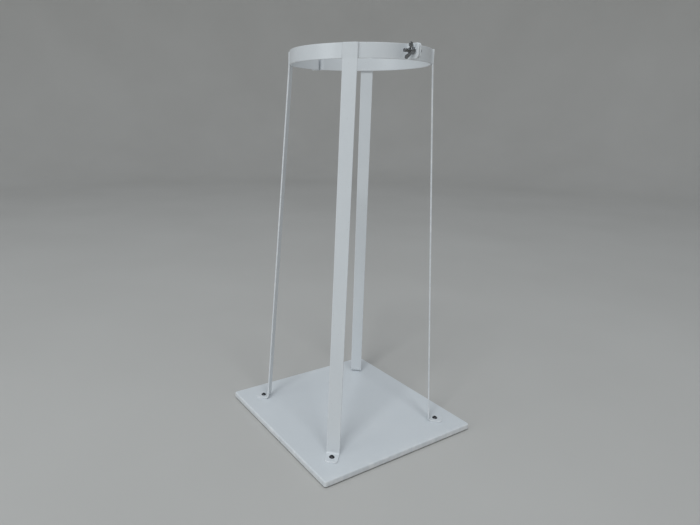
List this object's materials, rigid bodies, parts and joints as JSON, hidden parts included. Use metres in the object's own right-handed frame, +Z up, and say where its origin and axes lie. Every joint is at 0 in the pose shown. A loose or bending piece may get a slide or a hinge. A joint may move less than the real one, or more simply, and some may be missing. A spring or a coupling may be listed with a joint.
{
  "type": "clamp ring display stand",
  "caption": "Free-standing display stand: a square base board, leaning strap legs and a two-piece clamp ring closed by a wing nut.",
  "frame": {"origin": "on the floor, under the middle of the square base", "axes": "+Z up, the base's sides along X and Y, the wing-nut clamp towards -Y and the rear clamp towards +Y"},
  "size_m": [0.365, 0.365, 0.7509],
  "materials": {
    "board": "smooth satin white paint on fibreboard",
    "white_coat": "satin white powder coat with a fine orange peel",
    "dark_screw": "black oxide",
    "zinc_steel": "bright zinc plate",
    "bright_metal": "cast and nickel plated",
    "pad": "matte moulded rubber"
  },
  "bodies": {
    "stand": {"base_board": "board", "rubber_pad_front": "pad", "rubber_pad_right": "pad", "rubber_pad_back": "pad", "rubber_pad_left": "pad", "tee_nut_front": "zinc_steel", "tee_nut_right": "zinc_steel", "tee_nut_back": "zinc_steel", "tee_nut_left": "zinc_steel", "foot_screw_front": "dark_screw", "foot_screw_right": "dark_screw", "foot_screw_back": "dark_screw", "foot_screw_left": "dark_screw", "leg_front": "white_coat", "leg_right": "white_coat", "leg_back": "white_coat", "leg_left": "white_coat", "leg_weld_front": "white_coat", "leg_weld_right": "white_coat", "leg_weld_back": "white_coat", "leg_weld_left": "white_coat", "ring_half_left": "white_coat", "ring_half_right": "white_coat", "clamp_bolt": "zinc_steel", "clamp_head_washer": "zinc_steel", "rear_bolt": "zinc_steel", "rear_head_washer": "zinc_steel", "rear_nut_washer": "zinc_steel", "rear_nut": "zinc_steel"},
    "nut_washer": {"clamp_nut_washer": "zinc_steel"},
    "wing_nut": {"wing_nut": "bright_metal"}
  },
  "joints": [
    {"name": "nut_travel", "type": "slide", "parent": "stand", "child": "nut_washer", "axis": [-1, 0, 0], "range_m": [0, 0.011]},
    {"name": "nut_turn", "type": "hinge", "parent": "nut_washer", "child": "wing_nut", "pos_m": [-0.005, -0.146, 0.7375], "axis": [-1, 0, 0], "range_deg": [0, 3960]}
  ],
  "couplings": [
    {"joint": "nut_travel", "follows": "nut_turn", "m_per_rad": 0.00015915}
  ]
}
